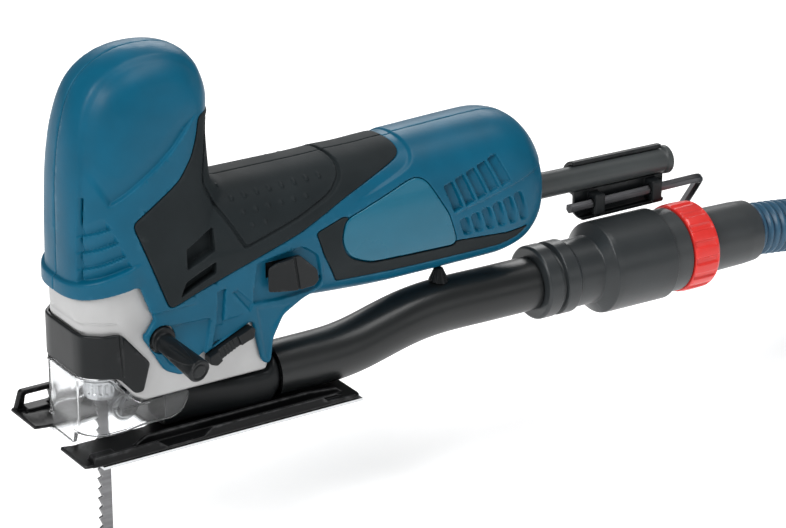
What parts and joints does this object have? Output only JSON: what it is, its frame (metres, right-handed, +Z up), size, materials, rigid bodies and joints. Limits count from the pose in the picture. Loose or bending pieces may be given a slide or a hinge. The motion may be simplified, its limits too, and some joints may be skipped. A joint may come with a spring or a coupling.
{
  "type": "barrel grip jigsaw",
  "caption": "Barrel-grip jigsaw with tall front handle, clear chip guard, flat base, and a dust tube leading to a ribbed suction hose.",
  "frame": {"origin": "on the sole, in the plane of the blade, 60 mm behind the middle of the blade", "axes": "+X to the rear of the tool, along the motor; -X is the cutting direction; +Z up from the sole; -Y is the left side of the tool"},
  "size_m": [0.9075, 0.205, 0.2665],
  "materials": {
    "housing_blue": "fine texture",
    "badge_blue": "smooth",
    "overmould": "matte",
    "black_plastic": "satin",
    "cast_aluminium": "silver paint",
    "steel": "ground",
    "blade_steel": "ground and painted",
    "bronze": "machined",
    "copper": "wound",
    "carbon": "matte",
    "clear": "clear",
    "red_plastic": "gloss",
    "hose_blue": "ribbed",
    "base_black": "powder coat",
    "fan_plastic": "moulded"
  },
  "bodies": {
    "tool": {"left_housing": "housing_blue", "left_grip": "overmould", "left_badge": "badge_blue", "left_strip": "overmould", "left_brush_holder": "bronze", "left_brush": "carbon", "right_housing": "housing_blue", "right_grip": "overmould", "right_badge": "badge_blue", "right_strip": "overmould", "right_brush_holder": "bronze", "right_brush": "carbon", "gear_case": "cast_aluminium", "lower_bush": "bronze", "upper_bush": "bronze", "gear_spindle": "steel", "fork_pin": "steel", "stator": "steel", "front_bearing": "steel", "rear_bearing": "steel", "switch_module": "black_plastic", "dust_duct": "black_plastic", "dust_tube": "black_plastic", "tube_hanger": "black_plastic", "hose_adapter": "black_plastic", "hose_connector": "black_plastic", "hose_cuff": "black_plastic", "hose": "hose_blue", "hose_hank": "hose_blue", "vacuum_fitting": "black_plastic", "cable_sleeve": "overmould", "cable_clamp": "black_plastic", "key_clip": "black_plastic"},
    "rotor": {"rotor_shaft": "steel", "armature": "copper", "commutator": "copper", "cooling_fan": "fan_plastic", "pinion": "steel"},
    "wheel": {"gear_wheel": "steel", "crank_roller": "steel"},
    "plunger": {"plunger": "steel", "yoke": "steel", "blade_clamp": "steel", "blade": "blade_steel"},
    "fork": {"roller_fork": "steel", "roller_pin": "steel"},
    "roller": {"guide_roller": "steel"},
    "orbital_lever": {"orbital_lever": "black_plastic"},
    "blower_switch": {"blower_switch": "black_plastic"},
    "switch": {"switch_slide": "black_plastic"},
    "speed_dial": {"speed_dial": "red_plastic"},
    "blade_lever": {"blade_lever": "black_plastic"},
    "guard": {"chip_guard": "clear"},
    "base": {"base_plate": "base_black", "sole_shoe": "steel", "base_segment": "steel"},
    "hex_key": {"hex_key": "steel"},
    "lock_ring": {"lock_ring": "red_plastic"}
  },
  "joints": [
    {"name": "rotor_spin", "type": "hinge", "parent": "tool", "child": "rotor", "pos_m": [0, 0, 0.085], "axis": [1, 0, 0], "continuous": true},
    {"name": "wheel_spin", "type": "hinge", "parent": "tool", "child": "wheel", "pos_m": [-0.0365, 0, 0.109], "axis": [1, 0, 0], "continuous": true},
    {"name": "plunger_stroke", "type": "slide", "parent": "tool", "child": "plunger", "axis": [0, 0, 1], "range_m": [0, 0.026]},
    {"name": "fork_swing", "type": "hinge", "parent": "tool", "child": "fork", "pos_m": [-0.0424, 0, 0.036], "axis": [0, 1, 0], "range_deg": [-3, 0]},
    {"name": "roller_spin", "type": "hinge", "parent": "fork", "child": "roller", "pos_m": [-0.049, 0, 0.011], "axis": [0, 1, 0], "continuous": true},
    {"name": "orbital_select", "type": "hinge", "parent": "tool", "child": "orbital_lever", "pos_m": [-0.041, -0.031, 0.055], "axis": [0, -1, 0], "range_deg": [0, 90]},
    {"name": "blower_slide", "type": "slide", "parent": "tool", "child": "blower_switch", "axis": [-0.9187, 0, -0.395], "range_m": [0, 0.004]},
    {"name": "switch_slide_on", "type": "slide", "parent": "tool", "child": "switch", "axis": [-1, 0, 0], "range_m": [0, 0.006]},
    {"name": "speed_set", "type": "hinge", "parent": "tool", "child": "speed_dial", "pos_m": [0.1779, 0.0242, 0.085], "axis": [1, 0, 0], "range_deg": [0, 300]},
    {"name": "blade_release", "type": "hinge", "parent": "tool", "child": "blade_lever", "pos_m": [-0.08, 0, 0.0635], "axis": [0, 1, 0], "range_deg": [0, 35], "stiffness_Nm_per_rad": 0.15},
    {"name": "guard_pull_off", "type": "slide", "parent": "tool", "child": "guard", "axis": [-1, 0, 0], "range_m": [0, 0.03]},
    {"name": "base_tilt", "type": "hinge", "parent": "tool", "child": "base", "pos_m": [0, 0, 0], "axis": [1, 0, 0], "range_deg": [0, 10]},
    {"name": "key_pull_out", "type": "slide", "parent": "tool", "child": "hex_key", "axis": [1, 0, 0], "range_m": [0, 0.08]},
    {"name": "lock_turn", "type": "hinge", "parent": "tool", "child": "lock_ring", "pos_m": [0.2845, -0.016, 0.02714], "axis": [0.9999, 0, -0.012], "range_deg": [0, 30]}
  ],
  "couplings": [
    {"joint": "wheel_spin", "follows": "rotor_spin", "ratio": -0.25}
  ]
}
